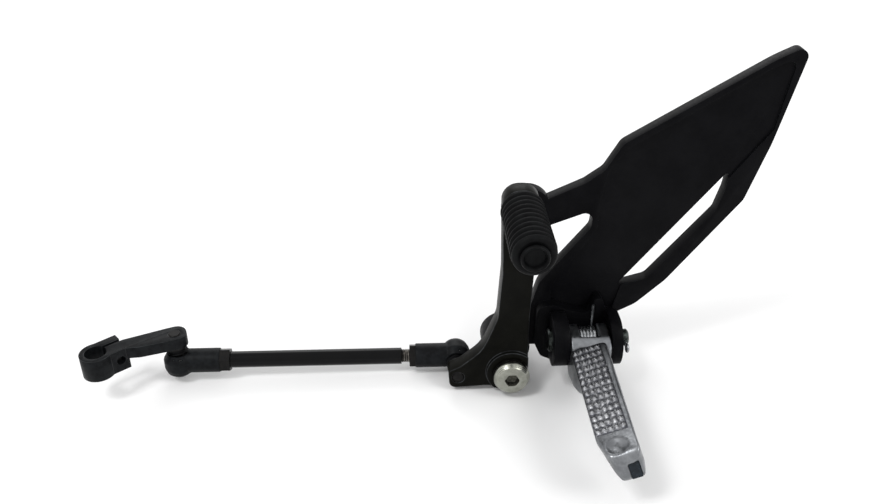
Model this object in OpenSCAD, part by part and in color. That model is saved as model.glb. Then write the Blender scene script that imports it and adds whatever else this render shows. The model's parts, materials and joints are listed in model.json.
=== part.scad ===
// Left-hand motorcycle footpeg on its cast bracket, with the gear shift lever and its link rod.
// Origin: centre of the collar face that seats on the frame, on the lever's pivot axis.
// X points rearwards, Z points up and the rider's side is -Y.

/* [Bracket] */
// Thickness of the cast plate
plate_t = 6; // [4:0.5:9]
// Length of the pivot collar behind the plate
collar_len = 9; // [5:0.5:14]
// Radius of the pivot collar behind the plate
collar_r = 11.5; // [10:0.5:14]
// Radius of the pivot boss in front of the plate
boss_r = 8.2; // [8:0.1:8.8]
// Length of the pivot boss in front of the plate
boss_len = 8; // [6:0.5:10]
// Place of the upper frame hole along X
upper_x = 6.6; // [4:0.1:9]
// Height of the upper frame hole above the pivot
upper_z = 76; // [72:0.5:78]
// Radius of the rounded upper end
upper_end_r = 11; // [10:0.1:13]
// Radius of the upper frame hole
upper_hole_r = 4.25; // [3:0.25:5]
// Depth of the recess in the heel guard's panel
panel_depth = 1.4; // [0.5:0.1:2.5]
// Width of the raised rim round the panel
rim_w = 2.6; // [1.5:0.1:4]

/* [Pivot] */
// Radius of the pivot bolt's shank
bolt_r = 4; // [3:0.1:4.5]
// Radius of the pivot bolt's flanged head
head_r = 8.6; // [7.5:0.1:10]
// Thickness of the pivot bolt's head
head_t = 4.6; // [3:0.1:6]
// Hexagon socket size across flats
socket_af = 6; // [4:0.5:7]
// Outside radius of the pivot bush
bush_r = 6; // [5.5:0.1:7]
// Thickness of each thrust washer
washer_t = 1.2; // [0.8:0.1:2]
// Radius of each thrust washer
washer_r = 8.4; // [7.5:0.1:9]

/* [Shift lever] */
// Thickness of the lever at the pivot
lever_t = 8; // [6:0.5:10]
// Thickness of the raised pad round the pivot
hub_pad = 1.8; // [1:0.1:3]
// Radius of the raised pad round the pivot
hub_r = 11.5; // [9:0.5:13]
// Outward offset of the lever's upper end
lever_bend = 9; // [4:0.5:13]
// Height of the toe peg above the pivot
toe_z = 91.5; // [88:0.5:94]
// Place of the toe peg along X
toe_x = 0.3; // [-2:0.1:2]
// Radius of the toe rubber
toe_r = 9.2; // [8.5:0.1:10.5]
// Length of the toe rubber
toe_len = 38.5; // [30:0.5:45]
// Number of ribs on the toe rubber
toe_ribs = 10; // [6:1:12]
// Depth of the grooves between the ribs
groove_d = 1.1; // [0.6:0.1:1.8]
// Radius of the steel toe peg in the rubber
toe_pin_r = 5; // [3.5:0.1:6]

/* [Link rod] */
// Radius of the link rod
rod_r = 3.95; // [3.4:0.05:4.4]
// Radius of the threaded rod ends
thread_r = 3; // [2.4:0.1:3.2]
// Place of the rear ball along X
rear_x = -24.7; // [-26:0.1:-22]
// Height of the front ball's centre
ball_z = -1.2; // [-3:0.1:0]
// Height of the rear ball's centre below the front one
rod_drop = 2; // [0:0.1:3]
// Distance between the two ball centres
link_len = 133.4; // [120:0.2:160]
// Radius of the balls
ball_r = 4.8; // [4.2:0.1:5]
// Radius of the ball housings
cup_r = 6.8; // [6.6:0.05:6.9]
// Radius of the housings' threaded shanks
shank_r = 5.6; // [5:0.1:5.7]
// Distance from a ball centre to the end of its housing's shank
shank_len = 19.6; // [17:0.2:22]
// Lock nut size across flats
nut_af = 10; // [9:0.5:11]
// Thickness of the front lock nut
nut_t = 5; // [3:0.5:6]
// Thickness of the rear lock nut
rear_nut_t = 3; // [2.5:0.5:6]

/* [Shift arm] */
// Distance from the front stud to the splined bore
arm_len = 35.7; // [30:0.1:45]
// Thickness of the arm
arm_t = 6; // [4:0.5:8]
// Height of the clamp
clamp_h = 11.5; // [9:0.5:12]
// Radius of the bore that grips the gear shaft
shaft_r = 5; // [4:0.25:6]
// Wall of the clamp round the bore
clamp_wall = 2.4; // [2:0.1:5]
// Width of the clamp's slit
slit_w = 1.6; // [1:0.1:3]
// Radius of the pinch bolt's hole
pinch_r = 2.2; // [2:0.1:3]
// Angle of the arm from the rod's line
arm_swing = 21; // [0:1:30]
// Angle of the clamp's slit from the arm
slit_turn = 18; // [0:1:25]

/* [Footpeg] */
// Place of the peg's middle along X
peg_x = 36; // [35:0.1:37]
// Distance of the hinge pin in front of the plate
pin_out = 13; // [12.5:0.1:14]
// Height of the hinge pin above the pivot
pin_z = 14; // [13:0.1:15]
// Radius of the hinge pin
pin_r = 4; // [3:0.1:4.5]
// Radius of the bracket's two ears
ear_r = 12; // [10:0.5:12.5]
// Thickness of the left ear
left_ear_t = 7; // [6:0.1:8]
// Thickness of the right ear
right_ear_t = 5; // [4:0.5:8]
// Width of the peg's knuckle
knuckle_w = 19; // [18:0.5:21]
// Length of the peg from its hinge pin
peg_len = 85; // [76:1:90]
// Angle by which the peg's tread leans to the front
peg_roll = 20; // [0:1:24]
// Offset of the tread in front of the knuckle's middle
tread_off = 2.5; // [0:0.1:4]
// Width of the peg's tread
tread_w = 16.6; // [14:0.1:18]
// Width of the knurl on the tread
knurl_w = 13; // [10:0.5:14]
// Length of the knurl
knurl_len = 56; // [40:1:60]
// Height of the tread above the hinge pin
tread_up = 5.6; // [5:0.1:6]
// Number of knurl rows along the peg
knurl_rows = 14; // [10:1:18]
// Number of knurl columns across the peg
knurl_cols = 5; // [4:1:6]
// Height of the knurl's points
knurl_h = 1.1; // [0.6:0.1:1.4]
// Radius of the return spring's wire
wire_r = 0.8; // [0.5:0.1:1]

/* [Hidden] */
// Running clearance between a shaft and its bore
run_gap = 0.05;
// Clearance between pieces that do not touch
air = 0.3;
// Facets of large and of small round faces
fine = 64;
small = 32;
// Largest turn between two flats of a rounded corner
corner_turn = 10;
// Closed wall left behind the pivot bolt
seat_wall = 2;
eps = 0.01;

plate_back = -collar_len;
plate_front = plate_back - plate_t;
boss_front = plate_front - boss_len;
lever_back = boss_front - washer_t - air;
lever_front = lever_back - lever_t;
hub_front = lever_front - hub_pad;
bush_front = hub_front - air;
head_back = bush_front - washer_t;
head_front = head_back - head_t;
ball_stand = 10;
link_y = lever_back + ball_stand;
front_x = rear_x - link_len;
rear_z = ball_z - rod_drop;
rod_tilt = atan2(rod_drop, link_len);
link_true = norm([rod_drop, link_len]);
pin_y = plate_front - pin_out;
knuckle_left = peg_x - knuckle_w / 2;
knuckle_right = peg_x + knuckle_w / 2;
ear_left_in = knuckle_left - air;
ear_left_out = ear_left_in - left_ear_t;
ear_right_in = knuckle_right + air;
ear_right_out = ear_right_in + right_ear_t;
web_front = plate_front - 5.2;
knuckle_r = min(pin_out - 5.2 - 2 * air, tread_up + 1.4);

// A circle's arc between the two tangent points of a corner of radius r
function unit(v) = v / norm(v);
function arc_corner(a, p, b, r) =
    let(u = unit(a - p), v = unit(b - p), half = acos(u * v) / 2)
    let(c = p + unit(u + v) * r / sin(half))
    let(s = p + u * r / tan(half) - c, e = p + v * r / tan(half) - c)
    let(a0 = atan2(s[1], s[0]), turn = atan2(e[1], e[0]) - a0)
    let(sweep = turn > 180 ? turn - 360 : turn < -180 ? turn + 360 : turn)
    let(steps = max(2, ceil(abs(sweep) / corner_turn)))
    [for (i = [0 : steps]) c + r * [cos(a0 + sweep * i / steps), sin(a0 + sweep * i / steps)]];
// An outline from [x, y, corner radius] points
function xy(p) = [p[0], p[1]];
function rounded(pts) = let(n = len(pts)) [for (i = [0 : n - 1])
    each (pts[i][2] == 0 ? [xy(pts[i])]
        : arc_corner(xy(pts[(i + n - 1) % n]), xy(pts[i]), xy(pts[(i + 1) % n]), pts[i][2]))];

// Extrudes an XZ outline between two Y planes
module slab_y(y0, y1) {
    translate([0, y1, 0]) rotate([90, 0, 0]) linear_extrude(y1 - y0) children();
}
// Extrudes a YZ outline between two X planes
module slab_x(x0, x1) {
    translate([x0, 0, 0]) rotate([90, 0, 90]) linear_extrude(x1 - x0) children();
}
module rod_y(r, y0, y1, sides = fine) {
    translate([0, y1, 0]) rotate([90, 0, 0]) cylinder(r = r, h = y1 - y0, $fn = sides);
}
module rod_x(r, x0, x1, sides = fine) {
    translate([x0, 0, 0]) rotate([0, 90, 0]) cylinder(r = r, h = x1 - x0, $fn = sides);
}
module hexagon(af) {
    circle(r = af / 2 / cos(30), $fn = 6);
}
module at_upper() {
    translate([upper_x, 0, upper_z]) children();
}
module at_pin() {
    translate([0, pin_y, pin_z]) children();
}
module at_toe() {
    translate([toe_x, 0, toe_z]) children();
}
module at_rear_ball() {
    translate([rear_x, link_y, rear_z]) children();
}
// The link rod's own frame: X runs along the rod, back to the rear ball
module on_rod() {
    at_rear_ball() rotate([0, rod_tilt, 0]) children();
}
module at_front_ball() {
    translate([front_x, link_y, ball_z]) children();
}
// The arm's own frame: its stud stands along +Z from the ball's centre
module on_arm() {
    at_front_ball() rotate([0, 0, arm_swing]) children();
}

// Heel guard, arm and root of the casting, as [x, z, corner radius]
heel_outline = [
    [9, 2, 2], [ear_right_out, 2, 2], [ear_right_out - 1, 18.3, 3], [61, 24.2, 12],
    [74, 37, 20], [104.5, 78.8, 6], [112.4, 106, 40], [121.8, 150.6, 3.5], [107.7, 144, 60],
    [47.2, 107.4, 6], [40.2, 95, 6], [32, 89, 8], [upper_x + 9, upper_z + 5.5, 3],
    [upper_x - 4, upper_z, 2], [upper_x + 2, upper_z - 11, 2], [37, 75.6, 3.6], [36.4, 66.4, 5],
    [14.1, 37.5, 12], [8, 14, 3], [0, 6, 1], [0, -4, 1]];
// Recessed panel of the heel guard
panel_outline = [
    [53.5, 36.2, 0], [95.6, 89, 0], [112.3, 112.5, 2], [119.4 - rim_w, 144.6, 3],
    [107.7, 144 - rim_w - 0.4, 40], [48.9, 107.4 - rim_w, 5], [41.6, 94, 8], [39.4, 80, 10],
    [39.2, 66, 8], [32, 54, 12], [20, 36, 5], [20, 22, 0], [50, 22, 0]];
// Long slot between the panel and the lower rail
slot_outline = [
    [51.2, 34.4, 0.8], [65.1, 38.3, 5], [92.6, 73.4, 5], [95.2, 83.8, 5], [96.4, 93.4, 0.8]];
ear_top = pin_z + ear_r;
base_outline = [
    [12.5, 7, 3], [16, -1.2, 4], [21, -3.6, 3], [28, -3, 3], [ear_right_out - 1.5, 1, 3],
    [ear_right_out - 1, 21, 2], [46.5, 23, 3], [43.5, 31, 2], [40.5, 31, 2], [37.5, 22.7, 3],
    [29.7, 24.1, 4], [20.5, 27.9, 3], [13.5, 27, 4]];

module bracket() {
    color([0.07, 0.07, 0.075]) difference() {
        union() {
            difference() {
                slab_y(plate_front, plate_back) polygon(rounded(heel_outline));
                slab_y(plate_front - 1, plate_front + panel_depth) polygon(rounded(panel_outline));
                slab_y(plate_front - 1, plate_back + 1) polygon(rounded(slot_outline));
            }
            at_upper() rod_y(upper_end_r, plate_front, plate_back);
            rod_y(collar_r, plate_front, 0);
            rod_y(boss_r, boss_front, plate_front + 3);
            // Thick base behind the ears
            slab_y(web_front, plate_front + 1) polygon(rounded(base_outline));
            clevis_ear(ear_left_out, ear_left_in);
            clevis_ear(ear_right_in, ear_right_out);
        }
        at_upper() rod_y(upper_hole_r, plate_front - 1, plate_back + 1);
        rod_y(bolt_r + run_gap, boss_front - 1, -seat_wall);
        at_pin() rod_x(pin_r + run_gap, ear_left_out - 1, ear_right_out + 1);
    }
}
ear_corner = ear_r - 0.8;
module clevis_ear(x0, x1) {
    slab_x(x0, x1) polygon(rounded([
        [pin_y - ear_r, pin_z - ear_r, ear_corner], [plate_front + 1, pin_z - ear_r, 0],
        [plate_front + 1, pin_z + ear_r - 4.5, 0], [pin_y + 6, pin_z + ear_r - 0.5, 5],
        [pin_y - ear_r, pin_z + ear_r, ear_corner]]));
}

module pivot_bolt() {
    color([0.75, 0.76, 0.76]) difference() {
        rotate([90, 0, 0]) rotate_extrude($fn = fine) polygon([
            [0, seat_wall + 1], [bolt_r, seat_wall + 1], [bolt_r, -head_back], [head_r, -head_back],
            [head_r, -head_back + head_t * 0.45], [head_r - 1.6, -head_front], [0, -head_front]]);
        slab_y(head_front - 1, head_front + head_t * 0.7) hexagon(socket_af);
    }
}
module pivot_bush() {
    color([0.6, 0.6, 0.58]) difference() {
        rod_y(bush_r, bush_front, boss_front - washer_t);
        rod_y(bolt_r + run_gap, bush_front - 1, boss_front);
    }
}
module thrust_washer(y0) {
    difference() {
        rod_y(washer_r, y0, y0 + washer_t);
        rod_y(bolt_r + run_gap, y0 - 1, y0 + washer_t + 1);
    }
}
module outer_washer() {
    color([0.1, 0.1, 0.1]) thrust_washer(head_back);
}
module inner_washer() {
    color([0.1, 0.1, 0.1]) thrust_washer(boss_front - washer_t);
}

// Front view of the lever, as [x, z, corner radius]
lever_w = 6.8;
lever_outline = [
    [8.2, -3, 5], [8, 12, 20], [lever_w + 0.4, 60, 10], [toe_x + 8, toe_z + 8.2, 7],
    [toe_x - 8, toe_z + 8.2, 7], [-lever_w + 0.2, 60, 10], [-lever_w, 30, 14], [-13.5, 12, 20],
    [rear_x + 1, 3.2, 2], [rear_x - 4.6, 0.4, 2], [rear_x - 4, -9.2, 3.2],
    [-12, -8.4, 6], [-6, -8.8, 3], [3, -9.4, 6]];
bend_low = 30;
bend_high = 62;
module shift_lever() {
    color([0.09, 0.09, 0.09]) difference() {
        union() {
            intersection() {
                slab_y(lever_front - lever_bend, lever_back) polygon(rounded(lever_outline));
                slab_x(rear_x - 20, 20) polygon(rounded([
                    [lever_back, -20, 0], [lever_back, bend_low, 12],
                    [lever_back - lever_bend, bend_high, 12], [lever_back - lever_bend, 120, 0],
                    [lever_front - lever_bend, 120, 0], [lever_front - lever_bend, bend_high, 12],
                    [lever_front, bend_low, 12], [lever_front, -20, 0]]));
            }
            intersection() {
                slab_y(hub_front, lever_front + 1) polygon(rounded(lever_outline));
                rod_y(hub_r, hub_front - 1, lever_front + 1);
            }
        }
        rod_y(bush_r + run_gap, hub_front - 1, lever_back + 1);
        translate([rear_x, 0, rear_z]) rod_y(stud_thread_r + run_gap, lever_front - 1,
            lever_back + 1, small);
        at_toe() rod_y(toe_neck_r + run_gap, lever_front - lever_bend - 1,
            lever_back - lever_bend + 1, small);
    }
}

// Toe peg: a steel pin through the lever's upper end, with a head that holds the rubber
toe_back = lever_back - lever_bend;
toe_front = lever_front - lever_bend;
toe_neck_r = 3.5;
toe_end = toe_front - toe_len;
toe_head_t = 2;
module toe_peg() {
    color([0.12, 0.12, 0.12]) at_toe() rotate([90, 0, 0]) rotate_extrude($fn = fine) polygon([
        [0, -toe_back - 2.4], [toe_neck_r, -toe_back - 2.4], [toe_neck_r, -toe_front],
        [toe_pin_r, -toe_front], [toe_pin_r, -toe_end + 0.2], [toe_pin_r + 0.6, -toe_end + 0.2],
        [toe_pin_r + 0.6, -toe_end + toe_head_t - 0.6], [toe_pin_r, -toe_end + toe_head_t],
        [0, -toe_end + toe_head_t]]);
}
rib_pitch = (toe_len - 2.5) / toe_ribs;
function rib_ring(i) = let(y = -toe_front + 0.4 + i * rib_pitch) [
    [toe_r - groove_d, y], [toe_r - groove_d, y + rib_pitch * 0.22],
    [toe_r - 0.25, y + rib_pitch * 0.42], [toe_r, y + rib_pitch * 0.6],
    [toe_r - 0.25, y + rib_pitch * 0.82], [toe_r - groove_d, y + rib_pitch]];
module toe_rubber() {
    color([0.06, 0.06, 0.06]) at_toe() rotate([90, 0, 0]) rotate_extrude($fn = fine) polygon(concat(
        [[toe_pin_r + run_gap, -toe_front + 0.1], [toe_r - groove_d, -toe_front + 0.1]],
        [for (i = [0 : toe_ribs - 1]) each rib_ring(i)],
        [[toe_r - 0.5, -toe_end - 1.2], [toe_r - 1.4, -toe_end], [toe_pin_r + run_gap, -toe_end]]));
}
module toe_clip() {
    color([0.5, 0.5, 0.5]) at_toe() difference() {
        rod_y(toe_neck_r + 2.6, toe_back, toe_back + 1.2, small);
        rod_y(toe_neck_r + run_gap, toe_back - 1, toe_back + 3, small);
    }
}

// Ball joint pieces, drawn with the stud along +Z and the shank along -X
stud_neck_r = 2.6;
stud_thread_r = 2.9;
stud_flange_r = 4.6;
boot_in = 7.5;
boot_out = 8.2;
boot_reach = 36;
cap_top = 8.6;
cup_mouth_r = 4.4;
cup_lip = 4.2;
cup_mouth = 5.4;
cup_floor = 5.2;
seat_r = 5.5;
module ball_stud(thread) {
    rotate_extrude($fn = fine) polygon(concat(
        [for (i = [0 : 14]) let(a = -90 + i * (90 + acos(stud_neck_r / ball_r)) / 14)
            [ball_r * cos(a), ball_r * sin(a)]],
        [[stud_neck_r, cap_top + air], [stud_flange_r, cap_top + air],
        [stud_flange_r, ball_stand], [stud_thread_r, ball_stand],
        [stud_thread_r, ball_stand + thread - 0.5], [stud_thread_r - 0.5, ball_stand + thread],
        [0, ball_stand + thread]]));
}
module ball_seat() {
    difference() {
        translate([0, 0, -cup_floor]) cylinder(r = seat_r, h = cup_floor + cup_lip, $fn = fine);
        sphere(r = ball_r + run_gap, $fn = fine);
        cylinder(r = cup_mouth_r, h = cup_lip + 1, $fn = fine);
    }
}
module boot() {
    steps = 10;
    rotate_extrude($fn = fine) polygon(concat(
        [for (i = [0 : steps]) let(a = boot_reach - i * (boot_reach - 21) / steps)
            [boot_in * sin(a), boot_in * cos(a)]],
        [[stud_neck_r + run_gap, boot_in * cos(21)], [stud_neck_r + run_gap, cap_top],
        [stud_neck_r + 1.4, cap_top]],
        [for (i = [0 : steps]) let(a = 29 + i * (boot_reach - 29) / steps)
            [boot_out * sin(a), boot_out * cos(a)]]));
}
module rod_end() {
    difference() {
        union() {
            rotate_extrude($fn = fine) polygon([
                [0, -cup_r - 0.4], [cup_r * 0.55, -cup_r - 0.1], [cup_r * 0.88, -cup_r * 0.72],
                [cup_r, -cup_r * 0.35], [cup_r, 2.1], [cup_mouth_r + 0.5, cup_mouth],
                [0, cup_mouth]]);
            translate([-shank_len, 0, 0]) rod_x(shank_r, 0, shank_len, fine);
        }
        translate([0, 0, -cup_floor]) cylinder(r = seat_r + run_gap, h = cup_floor + cup_lip, $fn = fine);
        cylinder(r = cup_mouth_r, h = cup_mouth + 5, $fn = fine);
        translate([-shank_len - 1, 0, 0]) rod_x(thread_r + run_gap, 0, shank_len - seat_r - 3, small);
    }
}
module rear_frame() {
    at_rear_ball() rotate([90, 0, 0]) children();
}
module rear_stud() {
    color([0.3, 0.3, 0.3]) rear_frame() ball_stud(lever_t);
}
module rear_boot() {
    color([0.05, 0.05, 0.05]) rear_frame() boot();
}
module rear_rod_end() {
    color([0.13, 0.13, 0.14]) on_rod() rotate([90, 0, 0]) rod_end();
}
module rear_seat() {
    color([0.85, 0.85, 0.8]) on_rod() rotate([90, 0, 0]) ball_seat();
}
module front_stud() {
    color([0.3, 0.3, 0.3]) on_arm() ball_stud(arm_t + 0.5);
}
module front_boot() {
    color([0.05, 0.05, 0.05]) on_arm() boot();
}
module front_rod_end() {
    color([0.13, 0.13, 0.14]) on_rod() translate([-link_true, 0, 0]) rotate([0, 0, 180]) rod_end();
}
module front_seat() {
    color([0.85, 0.85, 0.8]) on_rod() translate([-link_true, 0, 0]) ball_seat();
}
module lock_nut(t) {
    difference() {
        rotate([0, 90, 0]) intersection() {
            linear_extrude(t) hexagon(nut_af);
            cylinder(r1 = nut_af / 2 + 0.5, r2 = nut_af / 2 + 0.5 + t, h = t, $fn = fine);
        }
        rod_x(thread_r + run_gap, -1, t + 1, small);
    }
}
rear_shank_end = -shank_len;
front_shank_end = shank_len - link_true;
module rear_lock_nut() {
    color([0.15, 0.13, 0.12]) on_rod() translate([rear_shank_end - rear_nut_t, 0, 0])
        lock_nut(rear_nut_t);
}
module front_lock_nut() {
    color([0.15, 0.13, 0.12]) on_rod() translate([front_shank_end + nut_t, 0, 0])
        mirror([1, 0, 0]) lock_nut(nut_t);
}
rear_thread_show = 3.9;
module link_rod() {
    x0 = front_shank_end + nut_t;
    x1 = rear_shank_end - rear_nut_t - rear_thread_show;
    color([0.05, 0.05, 0.055]) on_rod() union() {
        rod_x(rod_r, x0, x1);
        rod_x(thread_r, front_shank_end - 9, x0 + eps, small);
        rod_x(thread_r, x1 - eps, rear_shank_end + 9, small);
    }
}
// Shift arm: a flat lever with a split clamp, drawn in the arm's own frame
clamp_r = shaft_r + clamp_wall;
// Top view of the arm from its stud, as [x, y, corner radius]
arm_outline = [
    [5.6, -5, 4.6], [5.6, 6, 5], [-3, 6, 4], [-27.5, 5.1, 0], [-33, 1, 0], [-33, -1, 0],
    [-25, -1.5, 0], [-17, -3.9, 6], [-3, -5, 3]];
clamp_near = 6;
clamp_back = 7.1;
clamp_end = 12.8;
slit_y = 1.9;
module shift_arm() {
    low = ball_stand;
    top = ball_stand + arm_t;
    color([0.15, 0.15, 0.16]) on_arm() difference() {
        union() {
            translate([0, 0, low]) linear_extrude(arm_t) polygon(rounded(arm_outline));
            translate([-arm_len, 0, top - clamp_h]) rotate([0, 0, slit_turn]) {
                cylinder(r = clamp_r, h = clamp_h, $fn = fine);
                translate([0, -clamp_near, 0]) cube([clamp_end, clamp_near + clamp_back, clamp_h]);
            }
        }
        translate([-arm_len, 0, 0]) {
            cylinder(r = shaft_r, h = top + 1, $fn = fine);
            rotate([0, 0, slit_turn]) {
                translate([0, slit_y - slit_w / 2, 0]) cube([clamp_end + 3, slit_w, top + 1]);
                translate([shaft_r + pinch_r + 1.7, 0, top - clamp_h / 2])
                    rod_y(pinch_r, -clamp_near - 1, clamp_back + 1, small);
            }
        }
        translate([0, 0, low - 1]) cylinder(r = stud_thread_r + run_gap, h = arm_t + 2, $fn = small);
    }
}

// Hinge of the footpeg
pin_head_t = 1.8;
pin_tail = ear_right_out + 4.6;
pin_seat = ear_left_out;
module hinge_pin() {
    color([0.12, 0.12, 0.12]) at_pin() difference() {
        rotate([0, 90, 0]) rotate_extrude($fn = fine) polygon([
            [0, pin_seat - pin_head_t], [pin_r + 0.8, pin_seat - pin_head_t],
            [pin_r + 1.6, pin_seat - pin_head_t + 0.7], [pin_r + 1.6, pin_seat],
            [pin_r, pin_seat], [pin_r, pin_tail - 0.7], [pin_r - 0.7, pin_tail], [0, pin_tail]]);
        translate([ear_right_out + 2.6, 0, 0]) rod_y(0.95, -10, 10, small);
    }
}
module pin_washer() {
    color([0.75, 0.75, 0.75]) at_pin() difference() {
        rod_x(pin_r + 3.2, ear_right_out, ear_right_out + 1.2);
        rod_x(pin_r + run_gap, ear_right_out - 1, ear_right_out + 3);
    }
}
module split_pin() {
    wire = 0.85;
    color([0.75, 0.75, 0.75]) at_pin() translate([ear_right_out + 2.6, 0, 0]) {
        rod_y(wire, -pin_r - 3, pin_r + 4, small);
        translate([0, -pin_r - 3 - 1.4, 0]) rotate([0, 90, 0]) rotate_extrude($fn = small)
            translate([1.6, 0]) circle(r = wire * 0.8, $fn = 16);
    }
}

// Footpeg: a forked knuckle round the spring, a root rib and a rolled, knurled tread
fork_w = 8.6;
fork_x0 = peg_x - fork_w / 2;
body_start = pin_y - 13;
knurl_start = body_start - 1;
tip_y = pin_y - peg_len;
tread_z = pin_z + tread_up;
tread_x = peg_x - tread_off;
knurl_left = -tread_w / 2 + 0.6;
body_deep = 9.5;
tip_deep = 17;
// Side view of the root, as [y, z, corner radius]
root_side = [
    [pin_y, pin_z + knuckle_r, 0], [pin_y - 8, pin_z + knuckle_r - 0.4, 3],
    [body_start - 4, pin_z + 1, 3], [pin_y - 36, pin_z - 2, 0], [pin_y - 34, pin_z - 6, 0],
    [pin_y - 28, pin_z - 9.4, 6], [pin_y - 17, pin_z - 12, 6], [pin_y - 9.5, pin_z - 14, 3],
    [pin_y - 6, pin_z - 11, 3], [pin_y, pin_z - knuckle_r, 0]];
root_plan = [
    [knuckle_left, pin_y + 10, 0], [knuckle_left, pin_y - 22, 3], [knuckle_left + 3, pin_y - 37, 0],
    [peg_x + 3, pin_y - 37, 0], [peg_x + 6, pin_y - 22, 4], [knuckle_right, pin_y - 12, 4],
    [knuckle_right, pin_y + 10, 0]];
// Side view of the tread's body in its own frame, as [y, height, corner radius]
body_side = [
    [body_start, 0, 1], [tip_y + 3, 0, 3], [tip_y, -4, 3], [tip_y, -12, 4], [tip_y + 4, -tip_deep, 4],
    [tip_y + 12, -tip_deep + 1, 4], [tip_y + 17, -body_deep - 1, 4], [pin_y - 40, -body_deep, 10],
    [body_start - 9, -12, 3], [body_start, -12, 3]];
body_plan = [
    [-tread_w / 2, body_start, 1], [tread_w / 2 + 0.2, body_start, 3],
    [tread_w / 2 - 0.8, tip_y + 9, 4], [tread_w / 2 - 0.6, tip_y, 5],
    [-tread_w / 2 + 4, tip_y, 4], [-tread_w / 2, tip_y + 13, 8]];
// Keel-shaped section of the body, as [x, height, corner radius]
body_section = [
    [-tread_w / 2 - 1, 2, 0], [-tread_w / 2 - 1, -2.5, 0], [-tread_w / 2 + 0.8, -3.4, 2],
    [-4, -11, 6], [-1.5, -tip_deep - 0.5, 4], [5.5, -tip_deep - 0.5, 4.5], [7.6, -9, 8],
    [tread_w / 2 + 1, 2, 0]];
module on_tread() {
    translate([tread_x, 0, tread_z]) rotate([0, -peg_roll, 0]) children();
}
module knurl() {
    pitch_y = knurl_len / knurl_rows;
    pitch_x = knurl_w / knurl_cols;
    intersection() {
        slab_x(knurl_left, knurl_left + knurl_w) polygon(concat(
            [[knurl_start, -0.5]],
            [for (i = [0 : knurl_rows - 1]) each [[knurl_start - i * pitch_y, 0],
                [knurl_start - (i + 0.5) * pitch_y, knurl_h]]],
            [[knurl_start - knurl_len, 0], [knurl_start - knurl_len, -0.5]]));
        slab_y(knurl_start - knurl_len, knurl_start) polygon(concat(
            [[knurl_left, -0.5]],
            [for (i = [0 : knurl_cols - 1]) each [[knurl_left + i * pitch_x, 0],
                [knurl_left + (i + 0.5) * pitch_x, knurl_h]]],
            [[knurl_left + knurl_w, 0], [knurl_left + knurl_w, -0.5]]));
    }
}
dimple_r = 9;
module footpeg() {
    color([0.8, 0.8, 0.8]) difference() {
        union() {
            intersection() {
                slab_x(knuckle_left, knuckle_right) polygon(rounded(root_side));
                translate([0, 0, pin_z - 20]) linear_extrude(40) polygon(rounded(root_plan));
            }
            at_pin() rod_x(knuckle_r, knuckle_left, knuckle_right);
            on_tread() intersection() {
                slab_x(-tread_w, tread_w) polygon(rounded(body_side));
                translate([0, 0, -20]) linear_extrude(25) polygon(rounded(body_plan));
                slab_y(tip_y - 2, body_start + 2) polygon(rounded(body_section));
            }
            on_tread() knurl();
        }
        at_pin() rod_x(pin_r + run_gap, knuckle_left - 1, knuckle_right + 1);
        translate([fork_x0, pin_y - 7.2, pin_z - 20]) cube([fork_w, 30, 40]);
        // Dimple on the smooth end of the tread
        on_tread() translate([-1, tip_y + 7, dimple_r - 1.3]) sphere(r = dimple_r, $fn = fine);
        on_tread() tip_pocket(0);
    }
}
// Pocket in the tip's end face, with its dark plug
module tip_pocket(gap) {
    translate([0.8 + gap, tip_y - 3, -13.6 + gap]) cube([4.4 - 2 * gap, 6 - gap, 9 - 2 * gap]);
}
module tip_inset() {
    color([0.15, 0.2, 0.25]) on_tread() intersection() {
        tip_pocket(run_gap);
        translate([-5, tip_y + 0.8, -20]) cube([20, 10, 30]);
    }
}

// Return spring: close coils round the hinge pin, one leg up to the bracket and one on the peg
coil_r = pin_r + run_gap + wire_r + 0.3;
coils = 5;
coil_pitch = 1.55;
coil_in = coil_r - wire_r * 0.7;
leg_r = wire_r * 0.9;
module peg_spring() {
    half = coils * coil_pitch / 2;
    color([0.8, 0.8, 0.8]) at_pin() union() {
        translate([peg_x - half, 0, 0]) rotate([0, 90, 0]) rotate_extrude($fn = fine) polygon(concat(
            [[coil_in, 0.1]],
            [for (i = [0 : coils - 1]) each [for (a = [15 : 30 : 165])
                [coil_r + wire_r * sin(a), (i + 0.5) * coil_pitch - wire_r * 0.97 * cos(a)]]],
            [[coil_in, 2 * half - 0.1]]));
        translate([peg_x + half - wire_r - 0.1, coil_r, 0.4]) cylinder(r = leg_r, h = 15, $fn = small);
    }
}

bracket();
pivot_bolt();
pivot_bush();
outer_washer();
inner_washer();
shift_lever();
toe_peg();
toe_rubber();
toe_clip();
rear_stud();
rear_boot();
rear_rod_end();
rear_seat();
rear_lock_nut();
link_rod();
front_lock_nut();
front_rod_end();
front_seat();
front_boot();
front_stud();
shift_arm();
hinge_pin();
pin_washer();
split_pin();
footpeg();
peg_spring();
tip_inset();
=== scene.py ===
"""Left-hand motorcycle footpeg bracket with shift lever and link rod, in a white studio."""

import json
import math

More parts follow.
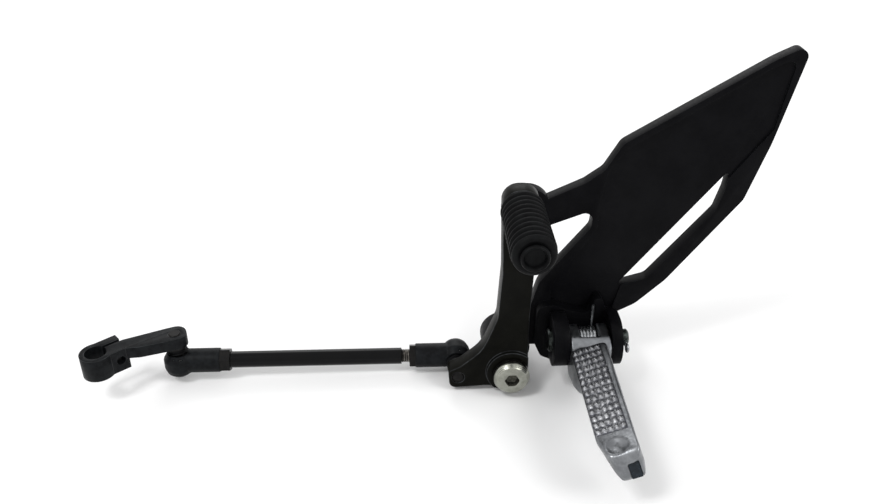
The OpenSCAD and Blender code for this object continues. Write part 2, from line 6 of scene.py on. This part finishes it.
import bpy
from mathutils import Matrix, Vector

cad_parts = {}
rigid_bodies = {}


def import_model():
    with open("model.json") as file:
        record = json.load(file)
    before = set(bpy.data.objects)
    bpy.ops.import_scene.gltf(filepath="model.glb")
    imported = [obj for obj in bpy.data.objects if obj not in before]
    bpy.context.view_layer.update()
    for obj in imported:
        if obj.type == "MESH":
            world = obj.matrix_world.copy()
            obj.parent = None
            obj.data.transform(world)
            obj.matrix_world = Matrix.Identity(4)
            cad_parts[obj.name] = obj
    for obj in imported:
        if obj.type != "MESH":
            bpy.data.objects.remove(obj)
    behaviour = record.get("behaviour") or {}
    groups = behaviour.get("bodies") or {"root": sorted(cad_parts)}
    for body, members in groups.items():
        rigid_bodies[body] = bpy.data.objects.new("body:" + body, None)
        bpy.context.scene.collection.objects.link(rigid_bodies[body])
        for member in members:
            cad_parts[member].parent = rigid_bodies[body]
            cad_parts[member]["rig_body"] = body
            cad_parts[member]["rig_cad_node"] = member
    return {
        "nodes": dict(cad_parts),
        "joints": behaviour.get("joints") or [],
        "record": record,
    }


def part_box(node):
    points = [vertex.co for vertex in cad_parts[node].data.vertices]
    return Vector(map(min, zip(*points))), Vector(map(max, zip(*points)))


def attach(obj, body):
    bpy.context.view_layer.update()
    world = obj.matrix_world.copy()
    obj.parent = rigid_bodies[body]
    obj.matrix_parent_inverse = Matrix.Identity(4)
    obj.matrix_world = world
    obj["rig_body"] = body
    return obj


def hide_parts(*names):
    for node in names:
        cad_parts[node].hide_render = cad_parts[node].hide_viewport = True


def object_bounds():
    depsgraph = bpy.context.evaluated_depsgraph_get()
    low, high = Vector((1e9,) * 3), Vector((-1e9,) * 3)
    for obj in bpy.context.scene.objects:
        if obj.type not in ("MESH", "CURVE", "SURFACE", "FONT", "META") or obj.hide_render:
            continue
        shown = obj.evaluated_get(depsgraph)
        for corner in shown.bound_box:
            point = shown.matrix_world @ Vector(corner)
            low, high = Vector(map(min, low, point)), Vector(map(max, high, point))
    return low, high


MM = 0.001
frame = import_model()
cad_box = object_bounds()
nodes = frame["nodes"]
joints = {joint["name"]: joint for joint in frame["joints"]}
body_of_node = {
    node: body
    for body, members in frame["record"]["behaviour"]["bodies"].items()
    for node in members
}

# The photograph's viewpoint: its place in metres and its turn in degrees
CAMERA_PLACE = (-0.0498, -0.3660, 0.2671)
CAMERA_TILT = 59.0
CAMERA_TURN = -3.2
FOCAL_LENGTH = 36.446
SENSOR_WIDTH = 36.0
MERGE_GAP = 0.001 * MM
COPLANAR = math.radians(0.5)
SHARP_EDGE = math.radians(32)
SMOOTH_EDGE = math.radians(35)
# Sides of a turned piece, and of one turn of the thread
TURNED_SIDES = 96
THREAD_STEPS = 32
# Width of the studio's floor in metres
FLOOR_WIDTH = 8
# The wave texture's rings repeat at this distance when its scale is 1
WAVE_PERIOD = 0.314

# Radii of the broken edges, in mm
CASTING_EDGE = 0.7
ARM_EDGE = 0.5
BOLT_EDGE = 0.5
# The rod ends' forged skin: voxel size in mm, rounds of smoothing, and swell in mm
FORGED_SKIN = {"voxel_mm": 0.3, "rounds": 6, "swell_mm": 0.25}
# The footpeg's cast skin, softer and with hardly any swell
CAST_SKIN = {"voxel_mm": 0.4, "rounds": 24, "swell_mm": 0.05}

# The footpeg's tread has its own frame: its origin in metres and its roll round Y.
# The knurl's box is in mm in that frame.
TREAD_PLACE = (0.0335, 0.0, 0.0196)
TREAD_ROLL = math.radians(20)
KNURL_X = (-7.7, 5.3)
KNURL_Y = (-98.0, -42.0)
# The toe peg's line, and the faces along it in mm in front of the frame's seat
TOE_LINE = (0.3 * MM, 91.5 * MM)
TOE_BACK = 31.1
TOE_FRONT = 41.5
TOE_END = 80.0
TOE_HEAD_END = 82.0


def linear(hex_colour):
    """A colour written as sRGB hex, in the linear values that a shader takes."""
    parts = [int(hex_colour[i : i + 2], 16) / 255 for i in (1, 3, 5)]
    channels = [c / 12.92 if c <= 0.04045 else ((c + 0.055) / 1.055) ** 2.4 for c in parts]
    return (*channels, 1.0)


def add_node(tree, kind, inputs=None, links=None, **settings):
    """Adds a shader node with its settings, its input values and the sockets that feed it."""
    made = tree.nodes.new(kind)
    for name, value in settings.items():
        setattr(made, name, value)
    for name, value in (inputs or {}).items():
        made.inputs[name].default_value = value
    for name, source in (links or {}).items():
        tree.links.new(source, made.inputs[name])
    return made


def blank_material(name):
    """A new material, its empty node tree, and the object's own coordinates in it."""
    material = bpy.data.materials.new(name)
    material.use_nodes = True
    tree = material.node_tree
    tree.nodes.clear()
    return material, tree, add_node(tree, "ShaderNodeTexCoord").outputs["Object"]


def surface(tree, tone, shine, relief, sockets):
    """Ends a tree with the shader that takes its colour, roughness and relief."""
    shader = add_node(
        tree,
        "ShaderNodeBsdfPrincipled",
        sockets,
        {
            "Base Color": tone.outputs["Result"],
            "Roughness": shine.outputs["Result"],
            "Normal": relief.outputs["Normal"],
        },
    )
    add_node(tree, "ShaderNodeOutputMaterial", links={"Surface": shader.outputs["BSDF"]})


def finish(
    name, dark, pale, tone_mm, grain_mm, relief_mm, gloss, pattern="grain", turn=None, **sockets
):
    """One finish: two close tones in patches, a relief of real size, and gloss that follows it.

    The pattern is grain, pits, rings round an axis that turn gives, or drag lines along X.
    """
    material, tree, place = blank_material(name)
    patches = add_node(
        tree,
        "ShaderNodeTexNoise",
        {"Scale": 1 / (tone_mm * MM), "Detail": 4.0, "Roughness": 0.65},
        {"Vector": place},
    )
    spread = add_node(
        tree,
        "ShaderNodeMapRange",
        {"From Min": 0.35, "From Max": 0.65},
        {"Value": patches.outputs["Fac"]},
        interpolation_type="SMOOTHSTEP",
    )
    tone = add_node(
        tree,
        "ShaderNodeMix",
        {"A": linear(dark), "B": linear(pale)},
        {"Factor": spread.outputs["Result"]},
        data_type="RGBA",
    )
    if pattern == "pits":
        cells = add_node(
            tree,
            "ShaderNodeTexVoronoi",
            {"Scale": 1 / (grain_mm * MM), "Smoothness": 0.6},
            {"Vector": place},
            feature="SMOOTH_F1",
        )
        height = cells.outputs["Distance"]
    elif pattern == "rings":
        centred = add_node(
            tree,
            "ShaderNodeMapping",
            {"Location": turn["centre"], "Rotation": turn["angles"]},
            {"Vector": place},
            vector_type="TEXTURE",
        )
        rings = add_node(
            tree,
            "ShaderNodeTexWave",
            {
                "Scale": WAVE_PERIOD / (grain_mm * MM),
                "Distortion": 0.6,
                "Detail": 2.0,
                "Detail Scale": 3.0,
            },
            {"Vector": centred.outputs["Vector"]},
            wave_type="RINGS",
            rings_direction="Z",
        )
        height = rings.outputs["Fac"]
    else:
        scale = (0.04, 1.0, 1.0) if pattern == "drag" else (1.0, 1.0, 1.0)
        drawn = add_node(tree, "ShaderNodeMapping", {"Scale": scale}, {"Vector": place})
        grain = add_node(
            tree,
            "ShaderNodeTexNoise",
            {"Scale": 1 / (grain_mm * MM), "Detail": 2.0, "Roughness": 0.5},
            {"Vector": drawn.outputs["Vector"]},
        )
        height = grain.outputs["Fac"]
    shine = add_node(
        tree,
        "ShaderNodeMapRange",
        {"From Min": 0.25, "From Max": 0.75, "To Min": gloss[0], "To Max": gloss[1]},
        {"Value": height},
    )
    relief = add_node(
        tree, "ShaderNodeBump", {"Strength": 0.5, "Distance": relief_mm * MM}, {"Height": height}
    )
    surface(tree, tone, shine, relief, sockets)
    return material


METAL = {"Metallic": 1.0}


def coat(specular, metallic=0.0):
    """Shader inputs of a coat. Its specular level is low, because the surround is all white."""
    return {"Metallic": metallic, "Specular IOR Level": specular}


# The pivot bolt's own axis runs along Y, and the wave's rings run round Z
BOLT_TURN = {"centre": (0.0, 0.0, 0.0), "angles": (math.radians(90), 0.0, 0.0)}

# Powder coat on cast aluminium: deep black satin with a fine orange peel
powder_coat = finish(
    "powder_coated_aluminium", "#08080a", "#0d0d0f", 14, 1.0, 0.05, (0.34, 0.5), **coat(0.04)
)
# The coat's edges: paler and shinier as painted edge highlights, partly rubbed thin in places
edge_highlight_and_wear = finish(
    "coat_edge_highlight_and_wear", "#101112", "#343638", 6, 0.8, 0.03, (0.26, 0.4), **coat(0.2, 0.3)
)
# Stoved enamel on the forged lever: black with an olive cast and a slightly wavy skin
stoved_enamel = finish(
    "stove_enamelled_forging", "#080806", "#0e0e0b", 10, 1.6, 0.05, (0.3, 0.44), **coat(0.04)
)
# Gloss enamel on the drawn rod: nearly a mirror, with faint draw lines along its length
rod_enamel = finish(
    "gloss_enamelled_tube", "#030304", "#060607", 12, 0.6, 0.01, (0.1, 0.18), "drag", **coat(0.13)
)
# Phosphated forgings of the rod ends and the arm: dark grey, dull and grainy
phosphate = finish(
    "phosphated_forging", "#0a0b0d", "#16181a", 4, 0.7, 0.05, (0.36, 0.52), **coat(0.08)
)
# Blackened steel fasteners: near black with an oily sheen
blackened_steel = finish(
    "blackened_steel", "#080707", "#131211", 3, 0.6, 0.02, (0.26, 0.4), **coat(0.12)
)
# Bright zinc plate on the pivot bolt: pale metal with the lathe's fine rings
zinc_plate = finish(
    "zinc_plated_steel", "#8a8b82", "#a0a198", 5, 0.45, 0.02, (0.22, 0.36), "rings", BOLT_TURN,
    **METAL,
)
# Zinc in the bolt's socket, painted darker and duller than the head as the shade in the recess
socket_painted_shade = finish(
    "zinc_socket_painted_shade", "#3a3a34", "#64645c", 1, 0.5, 0.03, (0.4, 0.6), **METAL
)
# Bright drawn wire and cut washers: clean metal with faint die lines
drawn_wire = finish(
    "drawn_spring_steel", "#8e9092", "#b4b6b8", 2, 0.3, 0.01, (0.2, 0.32), **METAL
)
# Rolled thread of the rod: grey metal with oil in its roots
thread_steel = finish(
    "rolled_steel_thread", "#4d4a46", "#7a7670", 1.5, 0.3, 0.01, (0.25, 0.4), **METAL
)
# Tumbled die-cast aluminium on the peg: cloudy, with the small dents that tumbling leaves
tumbled_casting = finish(
    "tumbled_die_cast_aluminium", "#6f7174", "#86888b", 7, 1.2, 0.06, (0.28, 0.42), "pits", **METAL
)
# Moulded rubber: black and dull with a faint bloom
moulded_rubber = finish(
    "moulded_rubber", "#060607", "#0d0e0f", 5, 0.6, 0.04, (0.42, 0.6), **coat(0.07)
)
# Moulded nylon cups in the ball joints: milky white
nylon = finish("moulded_nylon", "#d8d6c8", "#e4e2d6", 6, 1.0, 0.02, (0.4, 0.5), Metallic=0.0)
# Sintered bronze bush: brown gold, with open pores
bronze = finish("sintered_bronze", "#7c5f3a", "#a5804f", 2, 0.4, 0.03, (0.35, 0.5), "pits", **METAL)
# Moulded plug in the peg's tip: glossy blue-black
plug_plastic = finish(
    "moulded_plug_plastic", "#10161c", "#1c242c", 3, 1.5, 0.02, (0.2, 0.3), **coat(0.15)
)
# The hinge pin's black plating, worn to grey
worn_plating = finish(
    "worn_black_plating", "#1b1e1d", "#4c514f", 1.5, 0.5, 0.02, (0.25, 0.4), **METAL
)


def knurled_casting():
    """The knurl of the same casting: painted shade with some grime between its points, and paler
    tips that are painted highlights with some wear.
    """
    # The specks of the painted shade and grime, how far its top edge wanders, and the heights where
    # the painted highlight and wear start and end
    speck, wander, highlight_and_wear_from, highlight_and_wear_to = 1.3 * MM, 0.35 * MM, 0.1 * MM, 1.0 * MM
    material, tree, place = blank_material("knurled_die_cast_aluminium")
    on_tread = add_node(
        tree,
        "ShaderNodeMapping",
        {"Location": TREAD_PLACE, "Rotation": (0.0, -TREAD_ROLL, 0.0)},
        {"Vector": place},
        vector_type="TEXTURE",
    )
    height = add_node(tree, "ShaderNodeSeparateXYZ", links={"Vector": on_tread.outputs["Vector"]})
    uneven = add_node(
        tree, "ShaderNodeTexNoise", {"Scale": 1 / speck, "Detail": 3.0}, {"Vector": place}
    )
    ragged = add_node(
        tree,
        "ShaderNodeMapRange",
        {"From Min": 0.3, "From Max": 0.7, "To Min": -wander, "To Max": wander},
        {"Value": uneven.outputs["Fac"]},
    )
    level = add_node(
        tree,
        "ShaderNodeMath",
        links={0: height.outputs["Z"], 1: ragged.outputs["Result"]},
        operation="ADD",
    )
    tip_highlight_and_wear = add_node(
        tree,
        "ShaderNodeMapRange",
        {"From Min": highlight_and_wear_from, "From Max": highlight_and_wear_to},
        {"Value": level.outputs["Value"]},
    )
    # Dark between the points as painted shade, pale on the tips as painted highlight and wear
    tone = add_node(
        tree,
        "ShaderNodeMix",
        {"A": linear("#4e4f54"), "B": linear("#c6c7ca")},
        {"Factor": tip_highlight_and_wear.outputs["Result"]},
        data_type="RGBA",
    )
    shine = add_node(
        tree,
        "ShaderNodeMapRange",
        {"To Min": 0.42, "To Max": 0.2},
        {"Value": tip_highlight_and_wear.outputs["Result"]},
    )
    dents = add_node(
        tree,
        "ShaderNodeBump",
        {"Strength": 0.5, "Distance": 0.1 * MM},
        {"Height": uneven.outputs["Fac"]},
    )
    surface(tree, tone, shine, dents, METAL)
    return material


# The finish of each CAD node
FINISHES = {
    powder_coat: ["bracket"],
    stoved_enamel: ["shift_lever", "toe_peg"],
    rod_enamel: ["link_rod"],
    phosphate: ["rear_rod_end", "front_rod_end", "shift_arm"],
    worn_plating: ["hinge_pin"],
    blackened_steel: [
        "outer_washer", "rear_stud", "front_stud", "rear_lock_nut", "front_lock_nut", "toe_clip",
    ],
    zinc_plate: ["pivot_bolt"],
    drawn_wire: ["pin_washer", "split_pin", "peg_spring", "inner_washer"],
    tumbled_casting: ["footpeg"],
    moulded_rubber: ["toe_rubber", "rear_boot", "front_boot"],
    nylon: ["rear_seat", "front_seat"],
    bronze: ["pivot_bush"],
    plug_plastic: ["tip_inset"],
}


def paint(piece, material):
    """Gives the whole piece one finish."""
    piece.data.materials.clear()
    piece.data.materials.append(material)


def select_only(piece):
    """Makes the piece the only selected object, and the active one."""
    bpy.ops.object.select_all(action="DESELECT")
    piece.select_set(True)
    bpy.context.view_layer.objects.active = piece


def apply_modifier(piece, kind, **settings):
    """Adds a modifier to the piece and applies it."""
    select_only(piece)
    modifier = piece.modifiers.new(kind.lower(), kind)
    for name, value in settings.items():
        setattr(modifier, name, value)
    bpy.ops.object.modifier_apply(modifier=modifier.name)


def stand_for(piece, node):
    """The piece joins the node's body, and the node is hidden."""
    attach(piece, body_of_node[node])
    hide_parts(node)


def second_finish(piece, material, belongs):
    """Gives a second finish to the faces whose centre belongs to it."""
    piece.data.materials.append(material)
    for face in piece.data.polygons:
        if belongs(face.center):
            face.material_index = 1


def merged_copy(node, name):
    """A loose copy of a CAD node's solid, its points merged and its flat faces made whole."""
    piece = nodes[node].copy()
    piece.data = nodes[node].data.copy()
    piece.name = name
    piece.parent = None
    # The copy isn't the CAD node itself
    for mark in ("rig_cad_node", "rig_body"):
        if mark in piece:
            del piece[mark]
    bpy.context.scene.collection.objects.link(piece)
    select_only(piece)
    bpy.ops.object.mode_set(mode="EDIT")
    bpy.ops.mesh.select_all(action="SELECT")
    bpy.ops.mesh.remove_doubles(threshold=MERGE_GAP)
    bpy.ops.mesh.customdata_custom_splitnormals_clear()
    bpy.ops.mesh.dissolve_limited(angle_limit=COPLANAR)
    bpy.ops.object.mode_set(mode="OBJECT")
    return piece


def broken_edges(node, name, radius_mm, material, edge_material=None):
    """Stands for a CAD node with the same solid, its sharp edges broken, and perhaps painted paler
    along them as edge highlights and wear.
    """
    piece = merged_copy(node, name)
    paint(piece, material)
    # The bevel's faces take the edge finish, which paints highlights along the edges
    if edge_material:
        piece.data.materials.append(edge_material)
    apply_modifier(
        piece,
        "BEVEL",
        width=radius_mm * MM,
        segments=2,
        limit_method="ANGLE",
        angle_limit=SHARP_EDGE,
        use_clamp_overlap=True,
        material=1 if edge_material else -1,
    )
    bpy.ops.object.shade_smooth_by_angle(angle=SMOOTH_EDGE)
    stand_for(piece, node)
    return piece


def cast_skin(node, name, material, voxel_mm, rounds, swell_mm, crisp=None):
    """Stands for a CAD node with the soft edges and filled corners of a casting.

    The points that crisp picks keep their edges. The swell makes up for the smoothing's loss.
    """
    piece = merged_copy(node, name)
    apply_modifier(piece, "REMESH", mode="VOXEL", voxel_size=voxel_mm * MM)
    apply_modifier(piece, "DISPLACE", strength=swell_mm * MM, mid_level=0.0)
    apply_modifier(piece, "SMOOTH", factor=0.5, iterations=2)
    soft = piece.vertex_groups.new(name="soft")
    points = [v.index for v in piece.data.vertices if crisp is None or not crisp(v.co)]
    soft.add(points, 1.0, "REPLACE")
    apply_modifier(piece, "SMOOTH", factor=0.5, iterations=rounds, vertex_group="soft")
    piece.vertex_groups.clear()
    select_only(piece)
    bpy.ops.object.shade_smooth()
    paint(piece, material)
    stand_for(piece, node)
    return piece


def turned(name, node, material, profile):
    """Stands for a node with a piece turned round the toe peg's line.

    The profile lists distances along it and radii, in mm.
    """
    line_x, line_z = TOE_LINE
    start, radius = profile[0]
    bpy.ops.object.select_all(action="DESELECT")
    bpy.ops.mesh.primitive_circle_add(
        vertices=TURNED_SIDES,
        radius=radius * MM,
        fill_type="NGON",
        location=(line_x, -start * MM, line_z),
        rotation=(math.radians(90), 0, 0),
    )
    piece = bpy.context.active_object
    piece.name = name
    bpy.ops.object.transform_apply(location=True, rotation=True, scale=True)
    bpy.ops.object.mode_set(mode="EDIT")
    bpy.ops.mesh.select_all(action="SELECT")
    for (at, wide), (to, next_wide) in zip(profile, profile[1:]):
        grow = next_wide / wide
        bpy.ops.mesh.extrude_region()
        bpy.ops.transform.translate(value=(0, (at - to) * MM, 0))
        bpy.ops.transform.resize(
            value=(grow, 1, grow), center_override=(line_x, -to * MM, line_z)
        )
    bpy.ops.mesh.select_all(action="SELECT")
    bpy.ops.mesh.normals_make_consistent(inside=False)
    bpy.ops.object.mode_set(mode="OBJECT")
    select_only(piece)
    bpy.ops.object.shade_smooth_by_angle(angle=SMOOTH_EDGE)
    paint(piece, material)
    stand_for(piece, node)


def toe_rubber():
    """The ribbed sleeve: round ribs with deep narrow grooves, and a soft rolled end."""
    ribs = 10
    rolled_end = 3.0
    pitch = (TOE_END - TOE_FRONT - rolled_end) / ribs
    bore, foot_radius = 5.05, 8.0
    back = TOE_FRONT + 0.1
    profile = [(TOE_END - 0.3, bore), (back, bore), (back, foot_radius)]
    # Points of a rib: share of the pitch, radius
    rib = [
        (0.06, 7.1), (0.22, 7.1), (0.3, 8.2), (0.4, 8.85),
        (0.55, 9.2), (0.72, 9.1), (0.88, 8.5), (0.97, 7.4),
    ]
    for i in range(ribs):
        foot = back + i * pitch
        profile += [(foot + share * pitch, radius) for share, radius in rib]
    # Points of the rolled end: distance short of the end, radius
    roll = [
        (2.7, 7.8), (2.4, 8.5), (1.9, 8.9), (1.2, 8.8),
        (0.5, 8.2), (0.1, 7.4), (0.0, 6.8), (0.2, 6.3),
    ]
    profile += [(TOE_END - short, radius) for short, radius in roll]
    turned("toe_sleeve", "toe_rubber", moulded_rubber, profile)


def toe_peg():
    """The pin through the sleeve: its upset head has a rolled rim round a dish.

    The real pin is steel, but the whole piece wears the sleeve's rubber finish.
    """
    tail, neck, pin, head = 2.9, 3.5, 5.0, 5.8
    profile = [
        (TOE_BACK, tail), (TOE_BACK + 0.6, neck), (TOE_FRONT, neck), (TOE_FRONT, pin),
        (TOE_END + 0.2, pin), (TOE_END + 0.2, head - 0.2), (TOE_END + 0.5, head),
    ]
    # Points of the rim and the dish: distance short of the head's end, and inside its radius
    dish = [
        (0.8, 0.0), (0.3, 0.25), (0.0, 0.6), (0.0, 0.9), (0.3, 1.3),
        (1.2, 1.6), (2.6, 1.9), (3.0, 2.6), (3.2, 4.5),
    ]
    profile += [(TOE_HEAD_END - short, head - inside) for short, inside in dish]
    turned("toe_pin", "toe_peg", moulded_rubber, profile)


def in_knurl(point):
    """Whether a point in metres lies on the tread's knurl."""
    x, y, z = Vector(point) - Vector(TREAD_PLACE)
    across = (x * math.cos(TREAD_ROLL) + z * math.sin(TREAD_ROLL)) / MM
    above = (z * math.cos(TREAD_ROLL) - x * math.sin(TREAD_ROLL)) / MM
    along = y / MM
    margin = 0.3
    return (
        KNURL_X[0] - margin < across < KNURL_X[1] + margin
        and KNURL_Y[0] - margin < along < KNURL_Y[1] + margin
        and above > -margin
    )


def footpeg():
    """The cast peg: soft all over but for its knurl, which has its own finish of painted shade
    between its points and painted highlights with wear on its tips.
    """
    piece = cast_skin("footpeg", "footpeg_casting", tumbled_casting, crisp=in_knurl, **CAST_SKIN)
    second_finish(piece, knurled_casting(), in_knurl)


def pivot_bolt():
    """The bolt with its broken edges, and painted shade in its socket: a darker, duller finish."""
    rim, reach, depth = 0.3 * MM, 3.6 * MM, 6 * MM
    piece = broken_edges("pivot_bolt", "pivot_bolt_head", BOLT_EDGE, zinc_plate)
    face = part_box("pivot_bolt")[0].y + rim
    # The socket's walls and floor take the painted shade
    second_finish(
        piece, socket_painted_shade, lambda c: face < c.y < face + depth and math.hypot(c.x, c.z) < reach
    )


def rod_thread():
    """The cut thread that shows between the rod and its rear lock nut: one helical ridge."""
    pitch = 1.0 * MM
    crest = 3.0 * MM
    half_height = 0.42 * MM
    overlap = 0.1
    rear = joints["rear_tilt"]
    along = Vector(rear["axis"]).normalized()
    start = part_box("rear_lock_nut")[0].x - Vector(rear["pos_m"]).x
    turns = 5
    bpy.ops.object.select_all(action="DESELECT")
    bpy.ops.mesh.primitive_circle_add(vertices=3, radius=half_height, location=(crest, 0, 0))
    ridge = bpy.context.active_object
    ridge.name = "rod_thread"
    bpy.ops.transform.rotate(
        value=math.radians(90), orient_axis="X", center_override=(crest, 0, 0)
    )
    bpy.ops.object.transform_apply(location=True, rotation=True, scale=True)
    apply_modifier(
        ridge,
        "SCREW",
        axis="Z",
        angle=2 * math.pi,
        screw_offset=pitch,
        iterations=turns,
        steps=THREAD_STEPS,
        render_steps=THREAD_STEPS,
        use_merge_vertices=True,
        merge_threshold=MERGE_GAP,
    )
    bpy.ops.object.mode_set(mode="EDIT")
    bpy.ops.mesh.select_all(action="DESELECT")
    bpy.ops.mesh.select_non_manifold()
    bpy.ops.mesh.fill()
    bpy.ops.mesh.select_all(action="SELECT")
    bpy.ops.mesh.normals_make_consistent(inside=False)
    bpy.ops.object.mode_set(mode="OBJECT")
    ridge.rotation_mode = "QUATERNION"
    ridge.rotation_quaternion = Vector((0, 0, 1)).rotation_difference(along)
    ridge.location = Vector(rear["pos_m"]) + along * (start - (turns + overlap) * pitch)
    select_only(ridge)
    bpy.ops.object.transform_apply(location=True, rotation=True, scale=True)
    bpy.ops.object.shade_smooth_by_angle(angle=SMOOTH_EDGE)
    paint(ridge, thread_steel)
    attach(ridge, "link_rod")


def studio():
    """A plain pale floor under the part, a white surround and soft lamps."""
    low, high = cad_box
    bpy.ops.object.select_all(action="DESELECT")
    bpy.ops.mesh.primitive_plane_add(size=FLOOR_WIDTH, location=(0, 0, low[2]))
    floor = bpy.context.active_object
    floor.name = "floor"
    pale = bpy.data.materials.new("matt_white_paper")
    pale.use_nodes = True
    shader = pale.node_tree.nodes["Principled BSDF"]
    shader.inputs["Base Color"].default_value = linear("#f7f7f7")
    shader.inputs["Roughness"].default_value = 0.9
    shader.inputs["Specular IOR Level"].default_value = 0.1
    floor.data.materials.append(pale)

    world = bpy.data.worlds.new("white_surround")
    bpy.context.scene.world = world
    world.use_nodes = True
    tree = world.node_tree
    tree.nodes.clear()
    rays = add_node(tree, "ShaderNodeLightPath")
    # The surround is pure white where it is seen or mirrored, and dimmer as a fill light
    mirror = add_node(
        tree,
        "ShaderNodeMath",
        links={0: rays.outputs["Is Camera Ray"], 1: rays.outputs["Is Glossy Ray"]},
        operation="MAXIMUM",
    )
    seen = add_node(
        tree,
        "ShaderNodeMath",
        links={0: mirror.outputs[0], 1: rays.outputs["Is Transmission Ray"]},
        operation="MAXIMUM",
    )
    fill = add_node(tree, "ShaderNodeBackground", {"Color": (1, 1, 1, 1), "Strength": 0.75})
    white = add_node(tree, "ShaderNodeBackground", {"Color": (1, 1, 1, 1), "Strength": 1.0})
    both = add_node(
        tree,
        "ShaderNodeMixShader",
        links={0: seen.outputs[0], 1: fill.outputs[0], 2: white.outputs[0]},
    )
    add_node(tree, "ShaderNodeOutputWorld", links={"Surface": both.outputs[0]})

    centre = Vector((low[0] + high[0], low[1] + high[1], low[2] + high[2])) / 2
    # Each lamp: name, place from the part's middle in metres, width in metres, power in watts
    for name, offset, width, power in (
        ("window_lamp", (-0.7, -0.5, 1.2), 0.35, 8.0),
        ("side_lamp", (0.9, -0.6, 0.9), 0.5, 5.0),
        ("back_lamp", (0.0, 1.2, 0.8), 0.8, 5.0),
    ):
        lamp = bpy.data.lights.new(name, "AREA")
        lamp.size = width
        lamp.energy = power
        holder = bpy.data.objects.new(name, lamp)
        bpy.context.scene.collection.objects.link(holder)
        holder.location = centre + Vector(offset)
        holder.rotation_euler = (-Vector(offset)).to_track_quat("-Z", "Y").to_euler()


def camera():
    """The photograph's own viewpoint and lens."""
    lens = bpy.data.cameras.new("camera")
    lens.lens = FOCAL_LENGTH
    lens.sensor_width = SENSOR_WIDTH
    lens.sensor_fit = "HORIZONTAL"
    lens.clip_start = 0.01
    holder = bpy.data.objects.new("camera", lens)
    bpy.context.scene.collection.objects.link(holder)
    holder.location = CAMERA_PLACE
    holder.rotation_euler = (math.radians(CAMERA_TILT), 0, math.radians(CAMERA_TURN))
    bpy.context.scene.camera = holder


camera()
for material, names in FINISHES.items():
    for node in names:
        paint(nodes[node], material)
broken_edges("bracket", "bracket_casting", CASTING_EDGE, powder_coat, edge_highlight_and_wear)
broken_edges("shift_lever", "lever_forging", CASTING_EDGE, stoved_enamel, edge_highlight_and_wear)
broken_edges("shift_arm", "clamp_arm", ARM_EDGE, phosphate, edge_highlight_and_wear)
cast_skin("rear_rod_end", "rear_rod_end_forging", phosphate, **FORGED_SKIN)
cast_skin("front_rod_end", "front_rod_end_forging", phosphate, **FORGED_SKIN)
footpeg()
pivot_bolt()
toe_rubber()
toe_peg()
rod_thread()
studio()
bpy.context.scene.view_settings.view_transform = "Standard"
